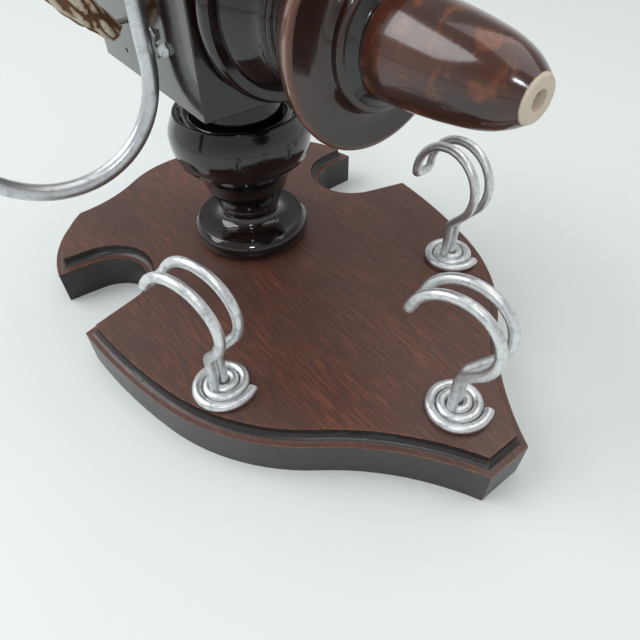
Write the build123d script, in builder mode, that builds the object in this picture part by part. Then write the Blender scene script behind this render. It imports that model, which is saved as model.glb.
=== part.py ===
"""Mug tree: a shield board with three wire hooks, and a turned leg laid across a turned post.

Frame: millimetres, +Z up, the floor at Z = 0, the shield's point towards -Y, the origin under
the middle of the board.  The leg lies along Y with its round nose over the shield's point.
A distance "back" is measured along Y from the point of the shield, a height "above the board"
from the board's top face.
"""
from math import acos, atan2, cos, hypot, radians, sin
import os

from build123d import *

os.makedirs("parts", exist_ok=True)

# ---------------------------------------------------------------- driving dimensions
# Shield board: half widths and distances back of its corners
board_length = 263.0
board_thickness = 22.0
tip_half_width = 10.0
tip_flare = 27.0                 # degrees from the long axis, where the flank leaves the tip
flank_waist_half_width = 50.0    # the hollow of the flank turns into its belly here
flank_waist_back = 46.5
flank_belly_half_width = 86.5
flank_belly_back = 98.2
lower_corner_half_width = 96.0
lower_corner_back = 154.0
notch_centre_half_width = 76.7
notch_back = 179.4
notch_radius = 19.6
ear_half_width = 92.5
ear_corner_back = 200.0
shoulder_half_width = 68.0
shoulder_back = 242.0
step_width = 4.5                 # routed step round the top edge
step_depth = 4.9
cove_radius = 3.0

# Board hooks, bent from doubled wire
hook_wire = 3.9
hook_foot_pitch = 4.0            # centre to centre of two turns of the flat spiral
hook_foot_half_turns = 5
hook_foot_end_turn = 77.0        # degrees of its outermost half turn
hook_bend_radius = 2.4           # where the wire turns up out of the spiral
hook_stem_height = 20.5
hook_kink_radius = 2.6           # where the strands bend out of the stem
hook_run_straight = 5.0          # of the run up to the arch, left for its sideways swing
hook_arch_radius = 16.5
hook_arch_reach = 5.5            # arch centre, from the stem towards the hook's tip
hook_arch_height = 39.5          # arch centre above the board
hook_arch_start = 212.0          # degrees round the arch, 0 towards the tip, 90 upwards
hook_arch_ends = {"hook_right": 4.0, "hook_front": 20.0, "hook_left": 34.0}
hook_tip_length = 3.4            # from the arch's end to the crosspiece at the tip
hook_tip_radius = 2.6
hook_spread = 9.2                # centre to centre of the two strands over the arch
hook_leg_depth = 12.0            # of the strand let into the board
side_hook_back = 88.5
side_hook_half_width = 63.4
front_hook_back = 27.0
hook_turns = {"hook_right": 1.0, "hook_front": 14.0, "hook_left": 19.0}

# Upright turned post, heights above the board
post_back = 167.5
post_foot_radius = 28.7
post_foot_height = 10.2
post_neck_radius = 13.3
post_neck_height = 14.5
post_bead_height = 16.4
post_bulb_radius = 31.9
post_bulb_height = 53.0
post_ledge_radius = 29.6
post_ledge_height = 45.0
post_rim_radius = 28.2
post_rim_height = 65.0
post_dish_depth = 4.0
post_spigot_radius = 20.0
post_height = 80.0

# Turned leg, distances back
leg_square = 67.0
leg_block_front = 130.0
leg_block_length = 87.5
leg_disc_radius = 32.0
leg_disc_front = 122.0
leg_cove_radius = 21.0
leg_cove_back = 109.0
dish_back = 97.0
dish_rim_back = 82.5
dish_radius = 31.8
dish_neck_radius = 22.6
dish_hub_radius = 19.2
dish_hub_front = 75.6
nose_front = 28.9
nose_base_radius = 14.4
nose_middle_radius = 12.6
nose_middle_back = 50.0
nose_tip_radius = 5.4
nose_tip_bore = 5.0
nose_tip_bore_depth = 6.0
collar_radius = 17.0
collar_width = 3.0
collar_groove = 0.6
tenon_diameter = 14.0
tenon_in_leg = 26.0

# Side arms of round rod
rod = 6.0
rod_bend_radius = 5.6
rod_hole_depth = 18.0
rod_back = 156.0
rod_hole_height = 120.0          # above the board
arm_radius = 36.0
arm_drop_height = 95.5           # where the rod starts to curve outwards, above the board
arm_sweep = 155.0                # degrees of the curve
rod_end_chamfer = 0.7

# Antler pieces
antler_back = 184.0
antler_height = 97.0             # above the board
antler_length = 58.0
antler_lean = 46.0               # degrees from upright at the foot
antler_tip_lean = 14.0
antler_foot_radius = 4.0
antler_belly_radius = 7.4
antler_tip_radius = 2.2
antler_gap = 0.3                 # between the antler's foot and the block

# Beads of set glue beside the rods
glue_bead_radius = 2.6
glue_bead_crown_radius = 1.7
glue_bead_spacing = 5.4
glue_beside_rod = 4.6
glue_height = 96.0               # of the lowest bead, above the board
glue_to_rod = 0.05

# Hidden fixings
screw_shank = 4.5
screw_head = 9.0
screw_length = 50.0
screw_spacing = 22.0
screw_head_sink = 1.0
screw_head_rim = 0.4
screw_point = 6.0
screw_slot_width = 1.1
screw_slot_depth = 1.6
dowel_diameter = 12.0
dowel_in_post = 25.0
dowel_in_leg = 25.0
pin_diameter = 2.5
pin_in_leg = 16.0
pin_in_antler = 9.0
nail_hole_diameter = 1.8
nail_hole_depth = 5.0
nail_hole_back = 191.4
nail_hole_height = 88.3          # above the board

fit_gap = 0.1                    # all round glued spigots, wires, dowels and screws

# ---------------------------------------------------------------- places shared by the parts
board_top = board_thickness
leg_half = leg_square / 2
leg_bottom = board_top + post_height
leg_axis = leg_bottom + leg_half
arm_offset = leg_half + rod_bend_radius


def along(back):
    """Y of a place that is given as its distance back from the shield's point."""
    return back - board_length / 2


post_axis = Axis((0, along(post_back), 0), (0, 0, 1))
leg_centre_line = Axis((0, 0, leg_axis), (0, 1, 0))
# Half sections are drawn with the radius along the sketch's X.
post_section = Plane(origin=(0, along(post_back), board_top), x_dir=(1, 0, 0), z_dir=(0, -1, 0))
leg_section = Plane(origin=(0, along(0), leg_axis), x_dir=(1, 0, 0), z_dir=(0, 0, 1))


# ---------------------------------------------------------------- screws
screw_places = [along(post_back) + side * screw_spacing / 2 for side in (-1, 1)]


def finish(piece, name):
    """Label a finished piece and write it out."""
    piece.part.label = name
    export_step(piece.part, f"parts/{name}.step")


def screw_axis(y):
    """Centre line of the screw that stands at this Y."""
    return Axis((0, y, 0), (0, 0, 1))


def screw_section(y):
    """Plane of the screw's half section: radius along X, height along Y."""
    return Plane(origin=(0, y, 0), x_dir=(1, 0, 0), z_dir=(0, -1, 0))


def screw_outline(y, gap):
    """Half section of a countersunk screw, or with a gap, of the hole that it goes in."""
    head_height = (screw_head - screw_shank) / 2
    head_bottom = -1.0 if gap else screw_head_sink
    head_rim = screw_head_sink + screw_head_rim
    head_top = head_rim + head_height
    end = screw_head_sink + screw_length
    with BuildSketch(screw_section(y)) as outline:
        with BuildLine():
            Polyline(
                (0, head_bottom),
                (screw_head / 2 + gap, head_bottom),
                (screw_head / 2 + gap, head_rim),
                (screw_shank / 2 + gap, head_top),
                (screw_shank / 2 + gap, end - screw_point),
                (0.4 + gap, end + gap),
                (0, end + gap),
                close=True,
            )
        make_face()
    return outline.sketch


with BuildPart() as post_screws:
    for y in screw_places:
        revolve(screw_outline(y, 0.0), axis=screw_axis(y))
        with BuildSketch(Plane.XY.offset(screw_head_sink)):
            with Locations((0, y)):
                Rectangle(screw_head * 0.55, screw_slot_width)
                Rectangle(screw_slot_width, screw_head * 0.55)
        extrude(amount=screw_slot_depth, mode=Mode.SUBTRACT)
finish(post_screws, "post_screws")


# ---------------------------------------------------------------- board
def notch_touch(corner, turn):
    """Where the straight side of a notch, drawn from its corner, touches the notch's round."""
    dx = corner[0] - notch_centre_half_width
    dy = corner[1] - along(notch_back)
    angle = atan2(dy, dx) + turn * acos(notch_radius / hypot(dx, dy))
    x = notch_centre_half_width + notch_radius * cos(angle)
    y = along(notch_back) + notch_radius * sin(angle)
    return (x, y)


def shield_outline():
    """The shield, drawn as one half and mirrored about its long axis."""
    tip = (tip_half_width, along(0))
    waist = (flank_waist_half_width, along(flank_waist_back))
    belly = (flank_belly_half_width, along(flank_belly_back))
    lower_corner = (lower_corner_half_width, along(lower_corner_back))
    lower_touch = notch_touch(lower_corner, -1)
    notch_bottom = (notch_centre_half_width - notch_radius, along(notch_back))
    ear = (ear_half_width, along(ear_corner_back))
    upper_touch = notch_touch(ear, 1)
    shoulder = (shoulder_half_width, along(shoulder_back))
    ear_middle = ((ear[0] + shoulder[0]) / 2 + 3.0, (ear[1] + shoulder[1]) / 2 + 4.0)
    crest = (0, along(board_length))
    crest_waist = (shoulder[0] / 2, (shoulder[1] + crest[1]) / 2)
    flare = (sin(radians(tip_flare)), cos(radians(tip_flare)))
    with BuildSketch() as outline:
        with BuildLine():
            Line((0, along(0)), tip)
            hollow = TangentArc(tip, waist, tangent=flare)
            swell = TangentArc(waist, belly, tangent=hollow % 1)
            TangentArc(belly, lower_corner, tangent=swell % 1)
            Line(lower_corner, lower_touch)
            ThreePointArc(lower_touch, notch_bottom, upper_touch)
            Line(upper_touch, ear)
            ThreePointArc(ear, ear_middle, shoulder)
            scoop = TangentArc(shoulder, crest_waist, tangent=(-1, 0))
            TangentArc(crest_waist, crest, tangent=scoop % 1)
            mirror(about=Plane.YZ)
        make_face()
    return outline.sketch


def hook_plane(name):
    """Local frame of a board hook: X towards its tip, the origin where its strand enters."""
    places = {
        "hook_right": (side_hook_half_width, along(side_hook_back)),
        "hook_front": (0.0, along(front_hook_back)),
        "hook_left": (-side_hook_half_width, along(side_hook_back)),
    }
    turn = radians(90 + hook_turns[name])
    x, y = places[name]
    return Plane(origin=(x, y, board_top), x_dir=(cos(turn), sin(turn), 0), z_dir=(0, 0, 1))


shield = shield_outline()
step_floor = board_thickness - step_depth
with BuildPart() as base_board:
    with BuildSketch():
        add(shield)
    extrude(amount=step_floor)
    with BuildSketch(Plane.XY.offset(step_floor)):
        add(shield)
        offset(amount=-step_width, kind=Kind.INTERSECTION, mode=Mode.REPLACE)
    extrude(amount=step_depth)
    inner_edges = edges(Select.LAST).filter_by_position(Axis.Z, step_floor, step_floor)
    fillet(inner_edges, cove_radius)
    # Blind bores for the hooks' strands
    for name in hook_turns:
        with BuildSketch(hook_plane(name).offset(1.0)):
            Circle(hook_wire / 2 + fit_gap)
        extrude(amount=-(hook_leg_depth + fit_gap + 1.0), mode=Mode.SUBTRACT)
    # Countersunk holes for the post's screws, from below
    for y in screw_places:
        revolve(screw_outline(y, fit_gap), axis=screw_axis(y), mode=Mode.SUBTRACT)
finish(base_board, "base_board")


# ---------------------------------------------------------------- post
def post_outline():
    """Half section of the turned post, above the board."""
    foot_round = 2.6
    rim_round = 1.2
    foot = post_foot_height
    dish_floor = post_rim_height - post_dish_depth
    with BuildSketch(post_section) as outline:
        with BuildLine():
            Line((0, 0), (post_foot_radius - foot_round, 0))
            ThreePointArc(
                (post_foot_radius - foot_round, 0),
                (post_foot_radius, foot * 0.48),
                (post_foot_radius - foot_round, foot),
            )
            Spline(
                (post_foot_radius - foot_round, foot),
                (post_neck_radius + 1.2, post_neck_height - 2.6),
                (post_neck_radius, post_neck_height),
                tangents=((-1.0, -0.12), (0.0, 1.0)),
            )
            Line((post_neck_radius, post_neck_height), (post_neck_radius, post_bead_height))
            ThreePointArc(
                (post_neck_radius, post_bead_height),
                (post_neck_radius + 1.7, post_bead_height + 1.4),
                (post_neck_radius + 1.5, post_bead_height + 2.8),
            )
            Spline(
                (post_neck_radius + 1.5, post_bead_height + 2.8),
                (19.2, 28.0),
                (22.4, 36.5),
                (post_ledge_radius, post_ledge_height - 1.0),
                tangents=((0.25, 1.0), (0.9, 0.8)),
            )
            Line((post_ledge_radius, post_ledge_height - 1.0), (post_ledge_radius, post_ledge_height))
            ThreePointArc(
                (post_ledge_radius, post_ledge_height),
                (post_bulb_radius, post_bulb_height),
                (post_rim_radius + 0.5, post_rim_height - rim_round),
            )
            Line(
                (post_rim_radius + 0.5, post_rim_height - rim_round),
                (post_rim_radius, post_rim_height),
            )
            Line((post_rim_radius, post_rim_height), (post_rim_radius - 1.6, post_rim_height))
            Spline(
                (post_rim_radius - 1.6, post_rim_height),
                (post_spigot_radius + 3.0, dish_floor),
                (post_spigot_radius, dish_floor + 2.0),
                tangents=((-0.6, -1.0), (-0.1, 1.0)),
            )
            Polyline(
                (post_spigot_radius, dish_floor + 2.0),
                (post_spigot_radius, post_height),
                (0, post_height),
                (0, 0),
            )
        make_face()
    return outline.sketch


dowel_bottom = leg_bottom - dowel_in_post
with BuildPart() as turned_post:
    revolve(post_outline(), axis=post_axis)
    for y in screw_places:
        revolve(screw_outline(y, fit_gap), axis=screw_axis(y), mode=Mode.SUBTRACT)
    with BuildSketch(Plane.XY.offset(dowel_bottom - fit_gap)):
        with Locations((0, along(post_back))):
            Circle(dowel_diameter / 2 + fit_gap)
    extrude(amount=dowel_in_post + 2 * fit_gap, mode=Mode.SUBTRACT)
finish(turned_post, "turned_post")

with BuildPart() as post_dowel:
    with BuildSketch(Plane.XY.offset(dowel_bottom)):
        with Locations((0, along(post_back))):
            Circle(dowel_diameter / 2)
    extrude(amount=dowel_in_post + dowel_in_leg)
    chamfer(edges().filter_by(GeomType.CIRCLE), 1.0)
finish(post_dowel, "post_dowel")


# ---------------------------------------------------------------- leg, dish and nose
def leg_front_outline():
    """Half section of the leg's turned front, as (radius, distance back)."""
    with BuildSketch(leg_section) as outline:
        with BuildLine():
            Polyline(
                (0, leg_block_front + 1.0),
                (leg_disc_radius - 1.8, leg_block_front + 1.0),
                (leg_disc_radius - 1.8, leg_block_front - 1.6),
                (leg_disc_radius - 0.8, leg_block_front - 1.6),
            )
            ThreePointArc(
                (leg_disc_radius - 0.8, leg_block_front - 1.6),
                (leg_disc_radius, (leg_block_front + leg_disc_front) / 2),
                (leg_disc_radius - 1.6, leg_disc_front),
            )
            Line((leg_disc_radius - 1.6, leg_disc_front), (leg_disc_radius - 4.6, leg_disc_front))
            Spline(
                (leg_disc_radius - 4.6, leg_disc_front),
                (leg_cove_radius + 1.2, leg_cove_back + 4.5),
                (leg_cove_radius, leg_cove_back),
                tangents=((-0.35, -1.0), (0.0, -1.0)),
            )
            ThreePointArc(
                (leg_cove_radius, leg_cove_back),
                (leg_cove_radius + 1.6, leg_cove_back - 1.8),
                (leg_cove_radius, leg_cove_back - 3.6),
            )
            ThreePointArc(
                (leg_cove_radius, leg_cove_back - 3.6),
                (leg_cove_radius + 1.0, leg_cove_back - 4.8),
                (leg_cove_radius, leg_cove_back - 6.0),
            )
            Spline(
                (leg_cove_radius, leg_cove_back - 6.0),
                (dish_neck_radius, dish_back),
                tangents=((0.0, -1.0), (0.45, -1.0)),
            )
            Polyline(
                (dish_neck_radius, dish_back),
                (0, dish_back),
                (0, leg_block_front + 1.0),
            )
        make_face()
    return outline.sketch


def front_bore(first_back, last_back, diameter):
    """Cut a round bore along the leg's centre line out of the current part."""
    with BuildSketch(Plane(origin=(0, along(first_back), leg_axis), z_dir=(0, 1, 0))) as bore:
        Circle(diameter / 2)
    extrude(bore.sketch, amount=last_back - first_back, mode=Mode.SUBTRACT)


def side_bore(side, back, height, diameter, depth):
    """Cut a round bore into one side face of the leg; side is -1 for left and 1 for right."""
    face = Plane(origin=(side * leg_half, along(back), board_top + height), z_dir=(side, 0, 0))
    with BuildSketch(face) as bore:
        Circle(diameter / 2)
    extrude(bore.sketch, amount=-depth, mode=Mode.SUBTRACT)


tenon_end = dish_back + tenon_in_leg
antler_pin_height = antler_height + antler_foot_radius
with BuildPart() as leg_block:
    with BuildSketch(Plane(origin=(0, along(leg_block_front), leg_axis), z_dir=(0, 1, 0))):
        Rectangle(leg_square, leg_square)
    extrude(amount=leg_block_length)
    chamfer(edges(), 0.5)
    revolve(leg_front_outline(), axis=leg_centre_line)
    with BuildSketch(Plane.XY.offset(leg_bottom - 1.0)):
        with Locations((0, along(post_back))):
            Circle(dowel_diameter / 2 + fit_gap)
    extrude(amount=dowel_in_leg + fit_gap + 1.0, mode=Mode.SUBTRACT)
    front_bore(dish_back - 1.0, tenon_end + fit_gap, tenon_diameter + 2 * fit_gap)
    for side in (-1, 1):
        side_bore(side, rod_back, rod_hole_height, rod + 2 * fit_gap, rod_hole_depth + fit_gap)
        side_bore(side, antler_back, antler_pin_height, pin_diameter + 2 * fit_gap,
                  pin_in_leg + fit_gap)
    side_bore(-1, nail_hole_back, nail_hole_height, nail_hole_diameter, nail_hole_depth)
finish(leg_block, "leg_block")

with BuildPart() as leg_dish:
    with BuildSketch(leg_section):
        bore_radius = tenon_diameter / 2 + fit_gap
        rim_round = 1.3
        with BuildLine():
            Polyline(
                (dish_neck_radius, dish_back),
                (bore_radius, dish_back),
                (bore_radius, dish_hub_front),
                (dish_hub_radius - 1.5, dish_hub_front),
            )
            ThreePointArc(
                (dish_hub_radius - 1.5, dish_hub_front),
                (dish_hub_radius, dish_hub_front + 1.5),
                (dish_hub_radius - 0.4, dish_hub_front + 3.2),
            )
            Spline(
                (dish_hub_radius - 0.4, dish_hub_front + 3.2),
                (dish_hub_radius + 4.4, dish_rim_back - 1.6),
                (dish_radius - rim_round, dish_rim_back - rim_round * 2),
                tangents=((0.4, 1.0), (1.0, -0.35)),
            )
            ThreePointArc(
                (dish_radius - rim_round, dish_rim_back - rim_round * 2),
                (dish_radius, dish_rim_back - rim_round),
                (dish_radius - rim_round * 0.5, dish_rim_back + rim_round),
            )
            Spline(
                (dish_radius - rim_round * 0.5, dish_rim_back + rim_round),
                (dish_neck_radius + 3.6, dish_back - 4.6),
                (dish_neck_radius, dish_back),
                tangents=((-0.35, 1.0), (-0.45, 1.0)),
            )
        make_face()
    revolve(axis=leg_centre_line)
finish(leg_dish, "leg_dish")

with BuildPart() as leg_nose:
    with BuildSketch(leg_section):
        nose_back = dish_hub_front - collar_width
        with BuildLine():
            Polyline(
                (0, tenon_end),
                (tenon_diameter / 2 - 1.0, tenon_end),
                (tenon_diameter / 2, tenon_end - 1.0),
                (tenon_diameter / 2, dish_hub_front),
                (collar_radius, dish_hub_front),
            )
            Polyline(
                (collar_radius, dish_hub_front),
                (nose_base_radius - collar_groove, dish_hub_front - collar_width * 0.5),
                (nose_base_radius, nose_back),
            )
            Spline(
                (nose_base_radius, nose_back),
                (nose_middle_radius, nose_middle_back),
                (nose_tip_radius, nose_front),
                tangents=((0.0, -1.0), (-0.75, -1.0)),
            )
            Polyline(
                (nose_tip_radius, nose_front),
                (nose_tip_bore / 2, nose_front),
                (nose_tip_bore / 2, nose_front + nose_tip_bore_depth),
                (0, nose_front + nose_tip_bore_depth + 1.2),
                (0, tenon_end),
            )
        make_face()
    revolve(axis=leg_centre_line)
finish(leg_nose, "leg_nose")


# ---------------------------------------------------------------- board hooks
def foot_place(x, y, z=0.0):
    """Turn a point of the spiral, so that its inner end lies square across the hook."""
    lead = atan2(hook_bend_radius, hook_foot_pitch)
    return (x * cos(lead) - y * sin(lead), x * sin(lead) + y * cos(lead), z)


def hook_line(name):
    """Centre line of a hook's wire, from the outer end of its flat spiral to its inner strand."""
    place = hook_plane(name)
    with BuildLine(place) as wire:
        lift = hook_wire / 2
        half_pitch = hook_foot_pitch / 2
        for k in reversed(range(hook_foot_half_turns)):
            radius = hook_foot_pitch + k * half_pitch
            centre = half_pitch if k % 2 else 0.0
            finish_angle = -90.0 if k % 2 else 90.0
            turned = hook_foot_end_turn if k == hook_foot_half_turns - 1 else 180.0

            def on_foot(back_turn):
                angle = radians(finish_angle + back_turn)
                return foot_place(radius * cos(angle), centre + radius * sin(angle), lift)

            ThreePointArc(on_foot(turned), on_foot(turned / 2), on_foot(0))
        bend = hook_bend_radius
        ThreePointArc(
            foot_place(0, hook_foot_pitch, lift),
            foot_place(bend * sin(radians(45)), hook_foot_pitch, lift + bend * (1 - cos(radians(45)))),
            foot_place(bend, hook_foot_pitch, lift + bend),
        )
        stem_foot = foot_place(bend, hook_foot_pitch, lift + bend)
        stem_y = stem_foot[1]
        strand_y = ((stem_y + hook_spread) / 2, (stem_y - hook_spread) / 2)
        start, end = radians(hook_arch_start), radians(hook_arch_ends[name])

        def arch(angle, y, beyond=0.0):
            x = hook_arch_reach + hook_arch_radius * cos(angle) + beyond * sin(angle)
            return (x, y, hook_arch_height + hook_arch_radius * sin(angle) - beyond * cos(angle))

        def way(first, last):
            return place.from_local_coords(last) - place.from_local_coords(first)

        middle = (start + end) / 2
        outer_top = (0, stem_y, hook_stem_height)
        outer_run = arch(start, strand_y[0], -hook_run_straight)
        FilletPolyline(stem_foot, outer_top, outer_run, radius=hook_kink_radius)
        Spline(
            outer_run,
            arch(start, strand_y[0]),
            tangents=(
                way(outer_top, outer_run),
                way(arch(start, strand_y[0], -1.0), arch(start, strand_y[0])),
            ),
        )
        ThreePointArc(arch(start, strand_y[0]), arch(middle, strand_y[0]), arch(end, strand_y[0]))
        FilletPolyline(
            arch(end, strand_y[0]),
            arch(end, strand_y[0], hook_tip_length),
            arch(end, strand_y[1], hook_tip_length),
            arch(end, strand_y[1]),
            radius=hook_tip_radius,
        )
        ThreePointArc(arch(end, strand_y[1]), arch(middle, strand_y[1]), arch(start, strand_y[1]))
        inner_top = (0, 0, hook_stem_height)
        inner_run = arch(start, strand_y[1], -hook_run_straight)
        Spline(
            arch(start, strand_y[1]),
            inner_run,
            tangents=(
                way(arch(start, strand_y[1]), arch(start, strand_y[1], -1.0)),
                way(inner_run, inner_top),
            ),
        )
        FilletPolyline(inner_run, inner_top, (0, 0, -hook_leg_depth), radius=hook_kink_radius)
    return wire.line


for name in hook_turns:
    with BuildPart() as board_hook:
        wire = hook_line(name)
        with BuildSketch(Plane(origin=wire @ 0, z_dir=wire % 0)):
            Circle(hook_wire / 2)
        sweep(path=wire)
    finish(board_hook, name)


# ---------------------------------------------------------------- side arms
def arm_line(side):
    """Centre line of a side arm, from its end inside the leg to its free tip."""
    y = along(rod_back)
    hole_z = board_top + rod_hole_height
    drop_z = board_top + arm_drop_height
    centre = arm_offset + arm_radius
    bend = rod_bend_radius
    with BuildLine() as rod_line:
        Line((side * (leg_half - rod_hole_depth), y, hole_z), (side * leg_half, y, hole_z))
        ThreePointArc(
            (side * leg_half, y, hole_z),
            (side * (leg_half + bend * sin(radians(45))), y, hole_z - bend * (1 - cos(radians(45)))),
            (side * arm_offset, y, hole_z - bend),
        )
        Line((side * arm_offset, y, hole_z - bend), (side * arm_offset, y, drop_z))

        def bow(angle):
            x = centre - arm_radius * cos(radians(angle))
            return (side * x, y, drop_z - arm_radius * sin(radians(angle)))

        ThreePointArc(bow(0), bow(arm_sweep / 2), bow(arm_sweep))
    return rod_line.line


for side, name in ((-1, "side_arm_left"), (1, "side_arm_right")):
    with BuildPart() as side_arm:
        rod_line = arm_line(side)
        with BuildSketch(Plane(origin=rod_line @ 0, z_dir=rod_line % 0)):
            Circle(rod / 2)
        sweep(path=rod_line)
        end_face = faces().sort_by_distance(rod_line @ 1)[0]
        chamfer(end_face.edges(), rod_end_chamfer)
    finish(side_arm, name)


# ---------------------------------------------------------------- antler pieces and their pins
def antler_stations():
    """Places along an antler piece: outward distance, height above the board, lean, radius."""
    steps = 6
    stations = []
    out = leg_half + antler_gap + antler_foot_radius
    height = antler_height
    for k in range(steps + 1):
        share = k / steps
        lean = radians(antler_lean + (antler_tip_lean - antler_lean) * share)
        if share < 0.4:
            radius = antler_foot_radius + (antler_belly_radius - antler_foot_radius) * share / 0.4
        else:
            fall = (share - 0.4) / 0.6
            radius = antler_belly_radius + (antler_tip_radius - antler_belly_radius) * fall
        stations.append((out, height, lean, radius))
        out += antler_length / steps * sin(lean)
        height += antler_length / steps * cos(lean)
    return stations


for side, name in ((-1, "antler_left"), (1, "antler_right")):
    with BuildPart() as antler:
        for out, height, lean, radius in antler_stations():
            place = (side * out, along(antler_back), board_top + height)
            with BuildSketch(Plane(origin=place, x_dir=(0, 1, 0),
                                   z_dir=(side * sin(lean), 0, cos(lean)))):
                Circle(radius)
        loft()
        face = Plane(origin=(side * leg_half, along(antler_back), board_top + antler_pin_height),
                     z_dir=(side, 0, 0))
        with BuildSketch(face):
            Circle(pin_diameter / 2 + fit_gap)
        extrude(amount=pin_in_antler + fit_gap, mode=Mode.SUBTRACT)
    finish(antler, name)

for side, name in ((-1, "antler_pin_left"), (1, "antler_pin_right")):
    with BuildPart() as antler_pin:
        face = Plane(origin=(side * leg_half, along(antler_back), board_top + antler_pin_height),
                     z_dir=(side, 0, 0))
        with BuildSketch(face.offset(-pin_in_leg)):
            Circle(pin_diameter / 2)
        extrude(amount=pin_in_leg + pin_in_antler)
        chamfer(edges().filter_by(GeomType.CIRCLE), 0.4)
    finish(antler_pin, name)


# ---------------------------------------------------------------- glue beads
# Drops of set glue on the leg's side faces, close beside the rods
glue_bead_height = rod_bend_radius - rod / 2 - glue_to_rod
glue_places = (
    (rod_back + glue_beside_rod, glue_height + glue_bead_spacing),
    (rod_back + glue_beside_rod, glue_height),
    (rod_back - glue_beside_rod, glue_height + glue_bead_spacing / 2),
)
for side, name in ((-1, "arm_glue_left"), (1, "arm_glue_right")):
    with BuildPart() as arm_glue:
        for back, height in glue_places:
            middle = leg_half + glue_bead_height / 2
            with Locations((side * middle, along(back), board_top + height)):
                Cone(glue_bead_radius, glue_bead_crown_radius, glue_bead_height,
                     rotation=(0, side * 90, 0))
    finish(arm_glue, name)
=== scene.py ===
from math import cos, pi, radians, sin

import bmesh
import bpy
from mathutils import Matrix, Quaternion, Vector, noise


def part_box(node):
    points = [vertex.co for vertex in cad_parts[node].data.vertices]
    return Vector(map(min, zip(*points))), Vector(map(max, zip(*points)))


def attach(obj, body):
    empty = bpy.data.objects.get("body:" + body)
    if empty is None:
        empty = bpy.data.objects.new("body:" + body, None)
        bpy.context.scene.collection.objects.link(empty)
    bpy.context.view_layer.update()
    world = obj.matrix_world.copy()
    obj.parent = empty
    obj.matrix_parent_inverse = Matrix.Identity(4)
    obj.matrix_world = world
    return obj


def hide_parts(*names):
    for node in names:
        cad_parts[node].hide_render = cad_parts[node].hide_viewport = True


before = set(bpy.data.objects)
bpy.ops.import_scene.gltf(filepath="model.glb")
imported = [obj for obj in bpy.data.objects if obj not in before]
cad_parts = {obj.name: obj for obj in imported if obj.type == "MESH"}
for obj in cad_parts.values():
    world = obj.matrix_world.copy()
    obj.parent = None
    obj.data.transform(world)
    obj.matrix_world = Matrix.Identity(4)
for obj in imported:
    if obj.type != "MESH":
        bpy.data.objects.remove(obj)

scene = bpy.context.scene
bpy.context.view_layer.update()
MM = 0.001
BODY = "root"

# ---------------------------------------------------------------- camera, floor and light
# A hand-held close view from the front left, looking down on the board, on white paper.
# Broad daylight comes from high behind, and a lamp behind the viewer gives small glints.
camera_place = Vector((-107.7, -164.2, 185.6)) * MM
camera_aim = Vector((0.4166, 0.5536, -0.7210))
camera_roll = -0.9
camera_data = bpy.data.cameras.new("camera")
camera_data.sensor_width = 36.0
camera_data.lens = 29.45
camera_data.clip_start = 5 * MM
camera = bpy.data.objects.new("camera", camera_data)
camera.rotation_mode = "QUATERNION"
camera.location = camera_place
camera.rotation_quaternion = (
    camera_aim.to_track_quat("-Z", "Y") @ Quaternion((0, 0, 1), radians(camera_roll))
)
scene.collection.objects.link(camera)
scene.camera = camera
scene.view_settings.view_transform = "Standard"


def soft_light(name, place, aim, width, height, power, colour):
    """A rectangular lamp at a place, turned to shine at another, in metres and watts."""
    data = bpy.data.lights.new(name, "AREA")
    data.shape = "RECTANGLE"
    data.size = width
    data.size_y = height
    data.energy = power
    data.color = colour
    lamp = bpy.data.objects.new(name, data)
    lamp.rotation_mode = "QUATERNION"
    lamp.location = place
    lamp.rotation_quaternion = (Vector(aim) - Vector(place)).to_track_quat("-Z", "Y")
    scene.collection.objects.link(lamp)


middle = (0, 0, 0.06)
soft_light("window", (-0.9, 0.9, 1.3), middle, 1.4, 1.0, 17.0, (0.95, 0.98, 1.0))
soft_light("ceiling", (0.5, -0.2, 1.6), middle, 1.6, 1.6, 9.0, (1.0, 0.99, 0.97))
soft_light("lamp", (-0.55, -0.75, 0.95), middle, 0.16, 0.10, 2.4, (0.92, 0.96, 1.0))

world = bpy.data.worlds.new("studio")
world.use_nodes = True
scene.world = world
studio = world.node_tree
studio.nodes.clear()


def add(tree, kind, settings=None, **inputs):
    """Add a shader node; an input is a value, or the socket of a node that feeds it."""
    made = tree.nodes.new("ShaderNode" + kind)
    for key, value in (settings or {}).items():
        setattr(made, key, value)
    for key, value in inputs.items():
        socket = made.inputs[key.replace("_", " ")]
        if isinstance(value, bpy.types.NodeSocket):
            tree.links.new(value, socket)
        else:
            socket.default_value = value
    return made


def ramp(tree, value, *stops):
    """Colours or values along a 0 to 1 value, given as (place, colour) stops."""
    made = add(tree, "ValToRGB", Fac=value)
    line = made.color_ramp.elements
    while len(line) < len(stops):
        line.new(1.0)
    for element, (place, colour) in zip(line, stops):
        element.position = place
        element.color = (*colour, 1.0) if isinstance(colour, tuple) else (colour,) * 3 + (1.0,)
    return made.outputs["Color"]


overhead = add(studio, "TexCoord").outputs["Generated"]
height_above = add(studio, "SeparateXYZ", Vector=overhead).outputs["Z"]
room = ramp(studio, height_above, (0.0, 0.80), (0.25, 0.62), (0.55, 0.30), (1.0, 0.42))
seen = add(studio, "Background", Color=room, Strength=1.0)
filled = add(studio, "Background", Color=(0.93, 0.97, 0.96, 1.0), Strength=0.50)
which = add(studio, "MixShader", Fac=add(studio, "LightPath").outputs["Is Glossy Ray"])
studio.links.new(filled.outputs[0], which.inputs[1])
studio.links.new(seen.outputs[0], which.inputs[2])
studio.links.new(which.outputs[0], add(studio, "OutputWorld").inputs["Surface"])

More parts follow.
